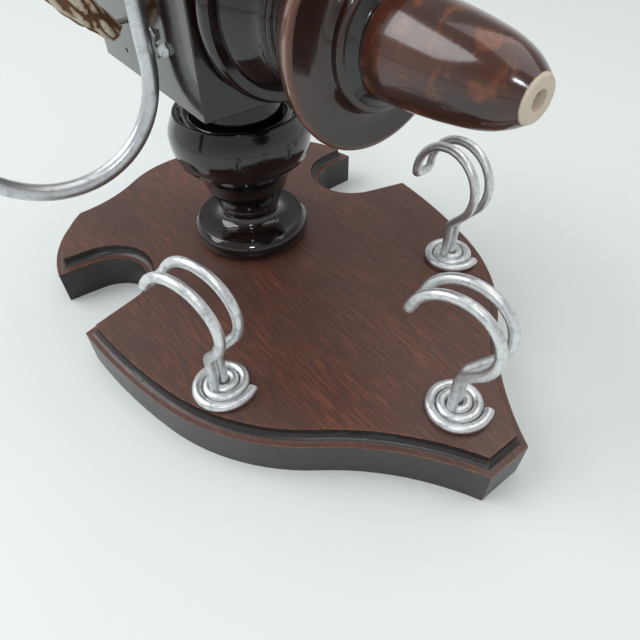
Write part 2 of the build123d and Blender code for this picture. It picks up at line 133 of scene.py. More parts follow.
paper_shape = bmesh.new()
bmesh.ops.create_grid(paper_shape, x_segments=1, y_segments=1, size=4.0)
paper_mesh = bpy.data.meshes.new("paper")
paper_shape.to_mesh(paper_mesh)
paper_shape.free()
paper = bpy.data.objects.new("paper", paper_mesh)
scene.collection.objects.link(paper)
paper_look = bpy.data.materials.new("white_paper")
paper_look.use_nodes = True
paper_shader = paper_look.node_tree.nodes["Principled BSDF"]
paper_shader.inputs["Base Color"].default_value = (0.755, 0.785, 0.775, 1.0)
paper_shader.inputs["Roughness"].default_value = 0.55
paper_mesh.materials.append(paper_look)

# ---------------------------------------------------------------- shield board
# A shield of close hardwood about 22 mm thick, stained mahogany and rubbed to a satin.
# Its top edge is routed to a small step with a cove, left darker than the face, and
# years of handling have rubbed the stain off the arrises down to orange wood.
board_arris = 0.45 * MM
hard_corner = radians(28)
weld = 0.002 * MM


def shade(bm, corner=hard_corner):
    """Smooth shading that stays crisp at corners sharper than the given one."""
    for face in bm.faces:
        face.smooth = True
    for edge in bm.edges:
        edge.smooth = len(edge.link_faces) == 2 and edge.calc_face_angle(0.0) < corner


def piece(bm, name, look, slot, *nodes, flat_faces=False):
    """Make a finished shape a piece of the object that stands for the named CAD nodes.
    With flat_faces, its broad faces shade dead flat beside their rounded arrises."""
    mesh = bpy.data.meshes.new(name)
    bm.to_mesh(mesh)
    bm.free()
    mesh.materials.append(look)
    made = bpy.data.objects.new(name, mesh)
    scene.collection.objects.link(made)
    if flat_faces:
        made.modifiers.new("flat_faces", "WEIGHTED_NORMAL").keep_sharp = True
    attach(made, BODY)
    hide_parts(*nodes)
    return made


def merged_copy(node):
    """A CAD node's mesh with its triangles joined up and its flat faces made whole."""
    bm = bmesh.new()
    bm.from_mesh(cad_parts[node].data)
    bmesh.ops.remove_doubles(bm, verts=bm.verts, dist=weld)
    bmesh.ops.dissolve_limit(bm, angle_limit=radians(0.4), verts=bm.verts, edges=bm.edges)
    return bm


def soften(bm, width, segments=2, corner=hard_corner):
    """Round every corner sharper than the given one to the given width."""
    hard = [e for e in bm.edges if len(e.link_faces) == 2 and e.calc_face_angle(0.0) > corner]
    bmesh.ops.bevel(
        bm, geom=hard, offset=width, offset_type="OFFSET", affect="EDGES",
        segments=segments, profile=0.5, material=-1, clamp_overlap=True,
    )


def shader_group(name, inputs, outputs):
    """A shader node group with named sockets, and its input and output nodes."""
    group = bpy.data.node_groups.new(name, "ShaderNodeTree")
    for label, kind, value in inputs:
        socket = group.interface.new_socket(label, in_out="INPUT", socket_type="NodeSocket" + kind)
        if value is not None:
            socket.default_value = value
    for label, kind in outputs:
        group.interface.new_socket(label, in_out="OUTPUT", socket_type="NodeSocket" + kind)
    return group, group.nodes.new("NodeGroupInput"), group.nodes.new("NodeGroupOutput")


def use(tree, group, **inputs):
    """Place a shader group in a tree and return its outputs."""
    return add(tree, "Group", {"node_tree": group}, **inputs).outputs


def maths(tree, operation, a, b=0.5, clamp=False):
    """The result of one sum on two values or sockets."""
    made = add(tree, "Math", {"operation": operation, "use_clamp": clamp})
    for socket, value in zip(made.inputs, (a, b)):
        if isinstance(value, bpy.types.NodeSocket):
            tree.links.new(value, socket)
        else:
            socket.default_value = value
    return made.outputs[0]


def blend(tree, mask, a, b, kind="MIX"):
    """Two colours mixed by a mask; kind is the way that the second covers the first."""
    made = add(tree, "Mix", {"data_type": "RGBA", "blend_type": kind, "clamp_factor": True})
    for socket, value in zip((made.inputs[0], made.inputs[6], made.inputs[7]), (mask, a, b)):
        if isinstance(value, bpy.types.NodeSocket):
            tree.links.new(value, socket)
        elif socket.type == "RGBA":
            socket.default_value = (*value, 1.0)
        else:
            socket.default_value = value
    return made.outputs[2]


# Long grain: fine streaks, broad figure and pores, all drawn out along the coordinate's Y.
long_grain, grain_in, grain_out = shader_group(
    "long_grain",
    [("Vector", "Vector", None), ("Streak Scale", "Float", 420.0), ("Figure Scale", "Float", 38.0)],
    [("Streaks", "Float"), ("Figure", "Float"), ("Pores", "Float")],
)
stretched = add(
    long_grain, "Mapping", Vector=grain_in.outputs["Vector"], Scale=(1.0, 0.085, 1.0)
).outputs[0]
streaks = add(
    long_grain, "TexNoise", Vector=stretched, Scale=grain_in.outputs["Streak Scale"],
    Detail=5.0, Roughness=0.62, Distortion=0.35,
).outputs[0]
figure_place = add(
    long_grain, "Mapping", Vector=grain_in.outputs["Vector"], Scale=(1.0, 0.42, 1.0)
).outputs[0]
figure = add(
    long_grain, "TexNoise", Vector=figure_place, Scale=grain_in.outputs["Figure Scale"],
    Detail=3.0, Roughness=0.55, Distortion=0.5,
).outputs[0]
pore_size = maths(long_grain, "MULTIPLY", grain_in.outputs["Streak Scale"], 3.1)
pore_noise = add(
    long_grain, "TexNoise", Vector=stretched, Scale=pore_size, Detail=2.0, Roughness=0.5
).outputs[0]
pores = ramp(long_grain, pore_noise, (0.60, 0.0), (0.72, 1.0))
long_grain.links.new(streaks, grain_out.inputs["Streaks"])
long_grain.links.new(figure, grain_out.inputs["Figure"])
long_grain.links.new(pores, grain_out.inputs["Pores"])

# Rubbed edges: where the surface turns away within the radius, broken up by a fine noise.
rubbed_edges, rub_in, rub_out = shader_group(
    "rubbed_edges",
    [("Vector", "Vector", None), ("Radius", "Float", 1.0 * MM), ("Breakup Scale", "Float", 260.0),
     ("Breakup", "Float", 0.6)],
    [("Mask", "Float")],
)
rounded = add(rubbed_edges, "Bevel", {"samples": 6}, Radius=rub_in.outputs["Radius"]).outputs[0]
straight = add(rubbed_edges, "NewGeometry").outputs["Normal"]
agreement = add(rubbed_edges, "VectorMath", {"operation": "DOT_PRODUCT"})
rubbed_edges.links.new(rounded, agreement.inputs[0])
rubbed_edges.links.new(straight, agreement.inputs[1])
turned_away = ramp(rubbed_edges, agreement.outputs["Value"], (0.80, 1.0), (0.985, 0.0))
rub_noise = add(
    rubbed_edges, "TexNoise", Vector=rub_in.outputs["Vector"],
    Scale=rub_in.outputs["Breakup Scale"], Detail=4.0, Roughness=0.65,
).outputs[0]
rub_gaps = maths(
    rubbed_edges, "MULTIPLY", ramp(rubbed_edges, rub_noise, (0.42, 1.0), (0.60, 0.0)),
    rub_in.outputs["Breakup"],
)
rub_mask = maths(rubbed_edges, "SUBTRACT", turned_away, rub_gaps, clamp=True)
rubbed_edges.links.new(rub_mask, rub_out.inputs["Mask"])

# Dust: a few pale specks, each a small dot in its own cell.
dust, dust_in, dust_out = shader_group(
    "dust", [("Vector", "Vector", None), ("Scale", "Float", 150.0)], [("Mask", "Float")]
)
cells = add(dust, "TexVoronoi", Vector=dust_in.outputs["Vector"], Scale=dust_in.outputs["Scale"])
dots = ramp(dust, cells.outputs["Distance"], (0.030, 1.0), (0.055, 0.0))
chosen = ramp(dust, cells.outputs["Color"], (0.83, 0.0), (0.86, 1.0))
dust.links.new(maths(dust, "MULTIPLY", dots, chosen), dust_out.inputs["Mask"])


def new_look(name):
    """A new material with its node tree, Principled shader and object coordinate."""
    look = bpy.data.materials.new(name)
    look.use_nodes = True
    tree = look.node_tree
    return look, tree, tree.nodes["Principled BSDF"], add(tree, "TexCoord").outputs


def finish_look(tree, shader, colour=None, roughness=None, height=None, depth=0.1 * MM, **values):
    """Feed the shader's main sockets, a bump from a height, and its plain values."""
    if colour is not None:
        tree.links.new(colour, shader.inputs["Base Color"])
    if roughness is not None:
        tree.links.new(roughness, shader.inputs["Roughness"])
    if height is not None:
        bump = add(tree, "Bump", Height=height, Distance=depth, Strength=1.0)
        tree.links.new(bump.outputs[0], shader.inputs["Normal"])
    for key, value in values.items():
        shader.inputs[key.replace("_", " ")].default_value = value


board_look, tree, shader, place = new_look("mahogany_stain")
grain = use(tree, long_grain, Vector=place["Object"], Streak_Scale=900.0)
face_up = add(tree, "SeparateXYZ", Vector=place["Normal"]).outputs["Z"]
on_top = ramp(tree, face_up, (0.90, 0.0), (0.985, 1.0))
dark_stain = (0.072, 0.031, 0.024)
red_stain = (0.215, 0.072, 0.040)
bare_orange = (0.42, 0.150, 0.055)
side_black = (0.0135, 0.0105, 0.0095)
streak_mask = ramp(tree, grain["Streaks"], (0.44, 0.0), (0.66, 1.0))
figure_mask = ramp(tree, grain["Figure"], (0.33, 0.35), (0.66, 1.0))
flecks = maths(tree, "MULTIPLY", streak_mask, figure_mask)
warm = blend(tree, flecks, dark_stain, red_stain)
broad = ramp(tree, grain["Figure"], (0.32, (0.078, 0.036, 0.029)), (0.68, (0.130, 0.048, 0.032)))
face_colour = blend(tree, 0.30, warm, broad)
face_colour = blend(tree, maths(tree, "MULTIPLY", grain["Pores"], 0.7), face_colour,
                    (0.034, 0.016, 0.013))
grime = add(tree, "TexNoise", Vector=place["Object"], Scale=310.0, Detail=5.0, Roughness=0.7)
side_colour = blend(tree, ramp(tree, grime.outputs[0], (0.52, 0.0), (0.72, 0.55)), side_black,
                    (0.060, 0.026, 0.016))
stained = blend(tree, on_top, side_colour, face_colour)
rub = use(tree, rubbed_edges, Vector=place["Object"], Radius=0.9 * MM, Breakup=0.75)["Mask"]
worn = blend(tree, maths(tree, "MULTIPLY", rub, 0.8), stained, bare_orange)
specks = use(tree, dust, Vector=place["Object"], Scale=120.0)["Mask"]
dusted = blend(tree, maths(tree, "MULTIPLY", specks, 0.5), worn, (0.62, 0.58, 0.52))
cloudy = add(tree, "TexNoise", Vector=place["Object"], Scale=46.0, Detail=3.0, Roughness=0.6)
satin = ramp(tree, cloudy.outputs[0], (0.3, 0.33), (0.75, 0.46))
relief = maths(tree, "SUBTRACT", grain["Streaks"], maths(tree, "MULTIPLY", grain["Pores"], 0.6))
finish_look(tree, shader, dusted, satin, relief, 0.05 * MM, Specular_IOR_Level=0.5,
            Coat_Weight=0.22, Coat_Roughness=0.30)

board_shape = merged_copy("base_board")
soften(board_shape, board_arris)
shade(board_shape)
piece(board_shape, "shield_board", board_look, "board_wood", "base_board", flat_faces=True)

# ---------------------------------------------------------------- turned post
# A short table-leg turning, screwed to the board through its foot: a round foot with a
# dished top, a thin neck with a bead, and a bulb with a lipped rim under the leg.
# It is stained black and polished until it mirrors the room.
post_low, post_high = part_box("turned_post")
post_centre = Vector(((post_low.x + post_high.x) / 2, (post_low.y + post_high.y) / 2, post_low.z))
turning_steps = 144


def curve(*points, steps=7):
    """A smooth line through a few points of a turner's profile, first and last included."""
    ends = (points[0],) + points + (points[-1],)
    line = []
    for k in range(1, len(points)):
        p0, p1, p2, p3 = (Vector(p) for p in ends[k - 1:k + 3])
        for j in range(steps):
            t = j / steps
            line.append(0.5 * (2 * p1 + (p2 - p0) * t + (2 * p0 - 5 * p1 + 4 * p2 - p3) * t ** 2
                               + (3 * p1 - p0 - 3 * p2 + p3) * t ** 3))
    return [tuple(p) for p in line] + [points[-1]]


def turned(profile, place, arris=0.22 * MM):
    """Spin a profile of (radius, height) in mm about the place's Z axis into a closed body."""
    bm = bmesh.new()
    verts = []
    for radius, height in profile:
        if not verts or (verts[-1].co - Vector((radius * MM, 0, height * MM))).length > weld:
            verts.append(bm.verts.new((radius * MM, 0, height * MM)))
    line = [bm.edges.new(pair) for pair in zip(verts, verts[1:])]
    bmesh.ops.spin(bm, geom=verts + line, cent=(0, 0, 0), axis=(0, 0, 1), angle=2 * pi,
                   steps=turning_steps, use_merge=True, use_duplicate=False)
    bmesh.ops.remove_doubles(bm, verts=bm.verts, dist=weld)
    bmesh.ops.recalc_face_normals(bm, faces=bm.faces)
    soften(bm, arris, corner=radians(24))
    bmesh.ops.transform(bm, matrix=place, verts=bm.verts)
    shade(bm, radians(40))
    return bm


def turning_marks(tree, height, spacing, waviness):
    """A height of fine rings round a turned piece, from the distance along its axis."""
    rings = maths(tree, "SINE", maths(tree, "MULTIPLY", height, 2 * pi / spacing))
    return maths(tree, "ADD", maths(tree, "MULTIPLY", rings, 0.5), waviness)


post_look, tree, shader, place = new_look("black_polish")
upright = add(tree, "Mapping", {"vector_type": "TEXTURE"}, Vector=place["Object"],
              Rotation=(pi / 2, 0, 0)).outputs[0]
grain = use(tree, long_grain, Vector=upright, Streak_Scale=300.0, Figure_Scale=30.0)
deep = blend(tree, ramp(tree, grain["Figure"], (0.45, 0.0), (0.75, 0.55)),
             (0.0062, 0.0045, 0.0045), (0.022, 0.0062, 0.0040))
rub = use(tree, rubbed_edges, Vector=place["Object"], Radius=0.7 * MM, Breakup=0.9)["Mask"]
edged = blend(tree, maths(tree, "MULTIPLY", rub, 0.35), deep, (0.16, 0.060, 0.030))
specks = use(tree, dust, Vector=place["Object"], Scale=170.0)["Mask"]
edged = blend(tree, maths(tree, "MULTIPLY", specks, 0.35), edged, (0.4, 0.38, 0.36))
lumps = add(tree, "TexNoise", Vector=place["Object"], Scale=95.0, Detail=3.0, Roughness=0.55)
glossy = ramp(tree, lumps.outputs[0], (0.35, 0.06), (0.8, 0.16))
up = add(tree, "SeparateXYZ", Vector=place["Object"]).outputs["Z"]
rings = turning_marks(tree, up, 0.9 * MM, maths(tree, "MULTIPLY", lumps.outputs[0], 2.2))
finish_look(tree, shader, edged, glossy, rings, 0.007 * MM, Specular_IOR_Level=0.5,
            Coat_Weight=0.6, Coat_Roughness=0.04, Coat_IOR=1.45)

post_profile = (
    [(0, 0), (26.0, 0)]
    + curve((26.0, 0), (28.1, 2.4), (28.65, 5.0), (28.2, 7.9), (26.1, 10.2))
    + curve((26.1, 10.2), (22.0, 9.75), (17.6, 10.1), (14.4, 11.9), (13.3, 14.5))
    + [(13.3, 16.4)]
    + curve((13.3, 16.4), (14.5, 16.85), (15.0, 17.8), (14.8, 19.2))
    + curve((14.8, 19.2), (17.0, 23.4), (19.2, 28.0), (20.6, 32.2), (22.4, 36.5), (25.3, 40.6),
            (29.6, 44.0))
    + [(29.6, 45.0)]
    + curve((29.6, 45.0), (31.2, 48.6), (31.85, 53.0), (31.4, 57.8), (28.7, 63.8))
    + [(28.2, 65.0), (26.6, 65.0)]
    + curve((26.6, 65.0), (25.0, 62.4), (23.0, 61.0), (20.9, 61.3), (20.0, 63.0))
    + [(20.0, 80.0), (0, 80.0)]
)
post_shape = turned(post_profile, Matrix.Translation(post_centre))
piece(post_shape, "turned_post_gloss", post_look, "black_wood", "turned_post")

# ---------------------------------------------------------------- leg block
# The square of a table leg, lying on its side with its turned end to the front: a disc,
# a cove and two beads run into the dish. Black like the post, with the lathe's rings left
# in the hollows, bruised corners, and a nail hole in the left face.
leg_look, tree, shader, place = new_look("black_leg_polish")
grain = use(tree, long_grain, Vector=place["Object"], Streak_Scale=360.0, Figure_Scale=34.0)
deep = blend(tree, ramp(tree, grain["Figure"], (0.45, 0.0), (0.78, 0.7)),
             (0.0068, 0.0052, 0.0052), (0.026, 0.0095, 0.0065))
deep = blend(tree, ramp(tree, grain["Streaks"], (0.55, 0.0), (0.75, 0.5)), deep,
             (0.030, 0.013, 0.009))
rub = use(tree, rubbed_edges, Vector=place["Object"], Radius=0.8 * MM, Breakup=0.95)["Mask"]
edged = blend(tree, maths(tree, "MULTIPLY", rub, 0.5), deep, (0.20, 0.085, 0.045))
lumps = add(tree, "TexNoise", Vector=place["Object"], Scale=120.0, Detail=4.0, Roughness=0.6)
glossy = ramp(tree, lumps.outputs[0], (0.35, 0.10), (0.8, 0.24))
back = add(tree, "SeparateXYZ", Vector=place["Object"]).outputs["Y"]
rings = turning_marks(tree, back, 1.1 * MM, maths(tree, "MULTIPLY", lumps.outputs[0], 3.0))
finish_look(tree, shader, edged, glossy, rings, 0.008 * MM, Specular_IOR_Level=0.4,
            Coat_Weight=0.7, Coat_Roughness=0.06, Coat_IOR=1.45)

leg_shape = merged_copy("leg_block")
soften(leg_shape, 0.25 * MM, corner=radians(35))
shade(leg_shape, radians(35))
piece(leg_shape, "leg_square", leg_look, "black_wood", "leg_block", flat_faces=True)

# ---------------------------------------------------------------- dish and nose of the leg
# Two more turnings glued to the front of the leg on its tenon: a wide dish with a rubbed
# red rim, and a bullet-shaped nose whose cut end shows bare wood round a small bore.
dish_low, dish_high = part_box("leg_dish")
nose_low, nose_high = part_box("leg_nose")
leg_axis_height = (dish_low.z + dish_high.z) / 2
dish_length = (dish_high.y - dish_low.y) / MM
dish_bore = 7.1
nose_bore = 2.5
nose_bore_depth = 6.0
rub_start, rub_width = 30.6 * MM, 2.0 * MM     # the dish's red rim, out from its axis
cut_depth, cut_fade = 0.75 * MM, 0.35 * MM     # bare wood at the nose's cut end
dark_band_width, dark_band_fade = 3.4 * MM, 0.8 * MM # near-black band on the nose just in front of the dish
nose_length = (nose_high.y - nose_low.y) / MM


def along_leg(front):
    """Place a turning on the leg's axis, its height running back from the given Y."""
    return Matrix.Translation((0, front, leg_axis_height)) @ Matrix.Rotation(-pi / 2, 4, "X")


def off_leg_axis(tree, place):
    """How far a point of the surface lies from the leg's axis."""
    across = add(tree, "Mapping", Vector=place["Object"],
                 Location=(0, 0, -leg_axis_height), Scale=(1.0, 0.0, 1.0)).outputs[0]
    return add(tree, "VectorMath", {"operation": "LENGTH"}, Vector=across).outputs["Value"]


dish_look, tree, shader, place = new_look("dish_polish")
grain = use(tree, long_grain, Vector=place["Object"], Streak_Scale=330.0, Figure_Scale=32.0)
deep = blend(tree, ramp(tree, grain["Figure"], (0.38, 0.0), (0.72, 1.0)),
             (0.010, 0.0062, 0.0055), (0.040, 0.0125, 0.0080))
from_axis = off_leg_axis(tree, place)
rim_noise = add(tree, "TexNoise", Vector=place["Object"], Scale=140.0, Detail=4.0, Roughness=0.6)
rim_place = maths(tree, "ADD", from_axis,
                  maths(tree, "MULTIPLY", rim_noise.outputs[0], 1.4 * MM))
rim_mask = maths(tree, "DIVIDE", maths(tree, "SUBTRACT", rim_place, rub_start), rub_width,
                 clamp=True)
rimmed = blend(tree, maths(tree, "MULTIPLY", rim_mask, 0.75), deep, (0.20, 0.066, 0.036))
glossy = ramp(tree, rim_noise.outputs[0], (0.35, 0.10), (0.8, 0.22))
rings = turning_marks(tree, from_axis, 1.3 * MM, maths(tree, "MULTIPLY", rim_noise.outputs[0], 2.5))
finish_look(tree, shader, rimmed, glossy, rings, 0.008 * MM, Specular_IOR_Level=0.5,
            Coat_Weight=0.6, Coat_Roughness=0.06, Coat_IOR=1.5)

dish_profile = (
    [(dish_bore, dish_length), (dish_bore, 0), (17.7, 0)]
    + curve((17.7, 0), (18.9, 0.45), (19.2, 1.5), (18.8, 3.2))
    + curve((18.8, 3.2), (20.6, 5.0), (23.6, 5.35), (27.0, 4.9), (30.5, 4.3))
    + curve((30.5, 4.3), (31.55, 4.7), (31.75, 5.7), (31.15, 8.2))
    + curve((31.15, 8.2), (30.3, 10.6), (28.7, 13.8), (26.2, 16.8), (24.2, 19.2),
            (22.6, dish_length))
    + [(dish_bore, dish_length)]
)
dish_shape = turned(dish_profile, along_leg(dish_low.y))
piece(dish_shape, "leg_dish_gloss", dish_look, "red_wood", "leg_dish")

nose_look, tree, shader, place = new_look("red_polish")
grain = use(tree, long_grain, Vector=place["Object"], Streak_Scale=260.0, Figure_Scale=62.0)
body_red = blend(tree, ramp(tree, grain["Figure"], (0.34, 0.0), (0.66, 1.0)),
                 (0.022, 0.0075, 0.0055), (0.082, 0.021, 0.0100))
mottle = add(tree, "TexNoise", Vector=place["Object"], Scale=150.0, Detail=4.0, Roughness=0.6,
             Distortion=0.6)
body_red = blend(tree, ramp(tree, mottle.outputs[0], (0.54, 0.0), (0.72, 0.7)), body_red,
                 (0.23, 0.068, 0.022))
body_red = blend(tree, ramp(tree, grain["Streaks"], (0.56, 0.0), (0.76, 0.5)), body_red,
                 (0.016, 0.007, 0.005))
back = add(tree, "SeparateXYZ", Vector=place["Object"]).outputs["Y"]
cut_edge = maths(tree, "SUBTRACT", back, maths(tree, "MULTIPLY", mottle.outputs[0], 0.5 * MM))
cut_mask = maths(tree, "DIVIDE", maths(tree, "SUBTRACT", nose_low.y + cut_depth, cut_edge),
                 cut_fade, clamp=True)
bore_mask = maths(tree, "LESS_THAN", off_leg_axis(tree, place), (nose_bore + 0.2) * MM)
cut_mask = maths(tree, "MAXIMUM", cut_mask, bore_mask)
end_grain = blend(tree, mottle.outputs[0], (0.54, 0.44, 0.34), (0.72, 0.63, 0.51))
nosed = blend(tree, cut_mask, body_red, end_grain)
# The nose is turned near-black over its last few mm before the dish, fading in over a short width.
dark_band_mask = maths(tree, "DIVIDE", maths(tree, "SUBTRACT", back, dish_low.y - dark_band_width),
                    dark_band_fade, clamp=True)
nosed = blend(tree, dark_band_mask, nosed, (0.008, 0.006, 0.006))
lumps = add(tree, "TexNoise", Vector=place["Object"], Scale=85.0, Detail=3.0, Roughness=0.5)
glossy = blend(tree, cut_mask, ramp(tree, lumps.outputs[0], (0.35, 0.15), (0.8, 0.30)),
               (0.62, 0.62, 0.62))
rings = turning_marks(tree, back, 2.2 * MM, maths(tree, "MULTIPLY", lumps.outputs[0], 12.0))
finish_look(tree, shader, nosed, glossy, rings, 0.006 * MM, Specular_IOR_Level=0.5)
coat = maths(tree, "MULTIPLY", maths(tree, "SUBTRACT", 1.0, cut_mask), 0.6)
tree.links.new(coat, shader.inputs["Coat Weight"])
shader.inputs["Coat Roughness"].default_value = 0.07

hub_at = (dish_low.y - nose_low.y) / MM
nose_profile = (
    [(0, nose_bore_depth + 1.2), (nose_bore, nose_bore_depth), (nose_bore, 0), (5.2, 0)]
    + curve((5.4, 0.15), (8.6, 5.2), (10.9, 11.6), (12.4, 20.0), (13.5, 29.0), (14.1, 36.5),
            (14.4, hub_at - 3.0))
    + curve((14.4, hub_at - 3.0), (14.1, hub_at - 2.2), (14.2, hub_at - 1.5), (17.0, hub_at))
    + [(7.0, hub_at), (7.0, nose_length - 1.0), (6.0, nose_length), (0, nose_length)]
)
nose_shape = turned(nose_profile, along_leg(nose_low.y), 0.12 * MM)
piece(nose_shape, "leg_nose_gloss", nose_look, "red_wood", "leg_nose")

# ---------------------------------------------------------------- wire hooks on the board
# Each hook is one length of soft aluminium wire: a flat spiral foot, a stem of two
# strands side by side, and a doubled arch closed by a U at its tip. Pliers and mugs have
# left it bright on top and scuffed grey along the strands.
metal_scuffs, scuff_in, scuff_out = shader_group(
    "metal_scuffs",
    [("Vector", "Vector", None), ("Scale", "Float", 300.0)],
    [("Tarnish", "Float"), ("Scratches", "Float"), ("Dents", "Float")],
)
tarnish = add(metal_scuffs, "TexNoise", Vector=scuff_in.outputs["Vector"],
              Scale=scuff_in.outputs["Scale"], Detail=5.0, Roughness=0.68, Distortion=0.4)
fine_scale = maths(metal_scuffs, "MULTIPLY", scuff_in.outputs["Scale"], 2.7)
crossing = add(metal_scuffs, "Mapping", Vector=scuff_in.outputs["Vector"],
               Rotation=(0.5, 0.3, 0.6), Scale=(1.0, 0.18, 1.0)).outputs[0]
lines = add(metal_scuffs, "TexNoise", Vector=crossing, Scale=fine_scale, Detail=2.0, Roughness=0.5)
off_line = maths(metal_scuffs, "ABSOLUTE", maths(metal_scuffs, "SUBTRACT", lines.outputs[0], 0.5))
metal_scuffs.links.new(ramp(metal_scuffs, tarnish.outputs[0], (0.50, 0.0), (0.72, 1.0)),
                       scuff_out.inputs["Tarnish"])
metal_scuffs.links.new(ramp(metal_scuffs, off_line, (0.006, 1.0), (0.022, 0.0)),
                       scuff_out.inputs["Scratches"])
metal_scuffs.links.new(tarnish.outputs[0], scuff_out.inputs["Dents"])


def metal_look(name, bright, dull, scale, smooth, rough, dents):
    """Satin aluminium: bright metal with duller scuffs, scratches and small dents."""
    look, tree, shader, place = new_look(name)
    marks = use(tree, metal_scuffs, Vector=place["Object"], Scale=scale)
    metal = blend(tree, maths(tree, "MULTIPLY", marks["Tarnish"], 0.8), bright, dull)
    metal = blend(tree, maths(tree, "MULTIPLY", marks["Scratches"], 0.35), metal, dull)
    rough_mask = ramp(tree, marks["Dents"], (0.3, smooth), (0.75, rough))
    relief = maths(tree, "SUBTRACT", marks["Dents"], maths(tree, "MULTIPLY", marks["Scratches"], 0.2))
    finish_look(tree, shader, metal, rough_mask, relief, dents, Metallic=1.0)
    return look


wire_look = metal_look("craft_wire", (0.80, 0.82, 0.83), (0.36, 0.37, 0.39), 330.0, 0.32, 0.48,
                       0.05 * MM)
wire = 3.9
coil_pitch = 4.0
coil_half_turns = 5
coil_last_turn = 77.0
coil_bend = 2.4
stem_top = 20.5
kink_reach = 2.0
arch_reach, arch_height, arch_radius = 5.5, 39.5, 16.5
arch_start = 212.0
strand_spread = 9.2
tip_length = 3.4
tip_bend = 2.4
bend_steps = 6
strand_in_board = 12.0
dent = 0.05


def arc(centre_x, centre_y, radius, first, last, step=9.0):
    """Points round an arc, from one angle to another in degrees."""
    count = max(2, round(abs(last - first) / step))
    angles = [radians(first + (last - first) * k / count) for k in range(count + 1)]
    return [(centre_x + radius * cos(a), centre_y + radius * sin(a)) for a in angles]


def bent(before, corner, after, reach):
    """Points round a bend in the wire at a corner between two straight runs."""
    b = Vector(corner)
    a = b + (Vector(before) - b).normalized() * reach
    c = b + (Vector(after) - b).normalized() * reach
    shares = [k / bend_steps for k in range(bend_steps + 1)]
    return [a * (1 - t) ** 2 + b * 2 * t * (1 - t) + c * t ** 2 for t in shares]


def hook_wire_line(arch_end):
    """Centre line of one hook in mm, X towards its tip, from the coil's end to its strand."""
    lift = wire / 2
    line = []
    for k in reversed(range(coil_half_turns)):
        finish = -90.0 if k % 2 else 90.0
        first = finish + (coil_last_turn if k == coil_half_turns - 1 else 180.0)
        radius = coil_pitch + k * coil_pitch / 2
        middle_y = coil_pitch / 2 if k % 2 else 0.0
        line += [Vector((x, y, lift)) for x, y in arc(0, middle_y, radius, first, finish)]
    line += [Vector((x, coil_pitch, z)) for x, z in arc(0, lift + coil_bend, coil_bend, -90, 0, 15)]
    turn_in = Matrix.Rotation(Vector((coil_pitch, coil_bend)).angle_signed(Vector((1, 0))), 4, "Z")
    line = [turn_in @ p for p in line]
    stem_y = line[-1].y
    near, far = (stem_y + strand_spread) / 2, (stem_y - strand_spread) / 2
    over = arc(arch_reach, arch_height, arch_radius, arch_start, arch_end, 7.0)
    fall = Vector((sin(radians(arch_end)), 0, -cos(radians(arch_end)))) * tip_length
    near_arch = [Vector((x, near, z)) for x, z in over]
    far_arch = [Vector((x, far, z)) for x, z in over]
    near_tip, far_tip = near_arch[-1] + fall, far_arch[-1] + fall
    near_top, far_top = Vector((0, stem_y, stem_top)), Vector((0, 0, stem_top))
    line += bent(line[-1], near_top, near_arch[0], kink_reach)
    line += near_arch
    line += bent(near_arch[-1], near_tip, far_tip, tip_bend)
    line += bent(near_tip, far_tip, far_arch[-1], tip_bend)
    line += far_arch[::-1]
    foot = Vector((0, 0, -strand_in_board))
    line += bent(far_arch[0], far_top, foot, kink_reach)
    return line + [foot]


def wire_mesh(name, line, radius):
    """A round wire along a line of points, its ends closed, as an editable shape."""
    data = bpy.data.curves.new(name, "CURVE")
    data.dimensions = "3D"
    data.bevel_depth = radius
    data.bevel_resolution = 5
    data.use_fill_caps = True
    spline = data.splines.new("POLY")
    spline.points.add(len(line) - 1)
    for point, place_now in zip(spline.points, line):
        point.co = (*place_now, 1.0)
    source = bpy.data.objects.new(name, data)
    bm = bmesh.new()
    bm.from_mesh(bpy.data.meshes.new_from_object(source))
    bpy.data.objects.remove(source)
    bmesh.ops.remove_doubles(bm, verts=bm.verts, dist=weld)
    bmesh.ops.recalc_face_normals(bm, faces=bm.faces)
    return bm


def settle(bm, node):
    """Move a shape so that its box and the CAD node's have the same middle."""
    low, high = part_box(node)
    axes = range(3)
    mine = Vector([(min(v.co[k] for v in bm.verts) + max(v.co[k] for v in bm.verts)) / 2
                   for k in axes])
    bmesh.ops.translate(bm, verts=bm.verts, vec=(low + high) / 2 - mine)


for side, turn, arch_end in (("right", 1.0, 4.0), ("front", 14.0, 20.0), ("left", 19.0, 34.0)):
    line = [p * MM for p in hook_wire_line(arch_end)]
    line = [p for k, p in enumerate(line) if k == 0 or (p - line[k - 1]).length > weld]
    hook_shape = wire_mesh("hook", line, wire / 2 * MM)
    bmesh.ops.rotate(hook_shape, verts=hook_shape.verts, cent=(0, 0, 0),
                     matrix=Matrix.Rotation(radians(90 + turn), 3, "Z"))
    settle(hook_shape, "hook_" + side)
    hook_shape.normal_update()
    for vert in hook_shape.verts:
        vert.co -= vert.normal * dent * MM * abs(noise.noise(vert.co / MM * 0.35)) * 2
    shade(hook_shape, radians(60))
    piece(hook_shape, "wire_hook_" + side, wire_look, "wire", "hook_" + side)

# ---------------------------------------------------------------- side arms
# A round aluminium rod on each side of the leg, glued into the side face, bent straight
# down and then out into an open bow that a mug hangs on. Drawn rod, a little cloudy.
rod_look = metal_look("drawn_rod", (0.66, 0.68, 0.70), (0.36, 0.37, 0.39), 190.0, 0.30, 0.42,
                      0.035 * MM)
for side in ("left", "right"):
    arm_shape = merged_copy("side_arm_" + side)
    shade(arm_shape, radians(35))
    piece(arm_shape, "rod_arm_" + side, rod_look, "rod", "side_arm_" + side)

# ---------------------------------------------------------------- antler pieces
# A short length of antler pinned to each side face behind the rod, cream on its ridges
# and brown in its furrows, broken to a ragged foot where it meets the leg.
antler_grain = 0.55 * MM
antler_relief = 1.5 * MM
antler_lean = Vector((0.5, 0, 0.86))


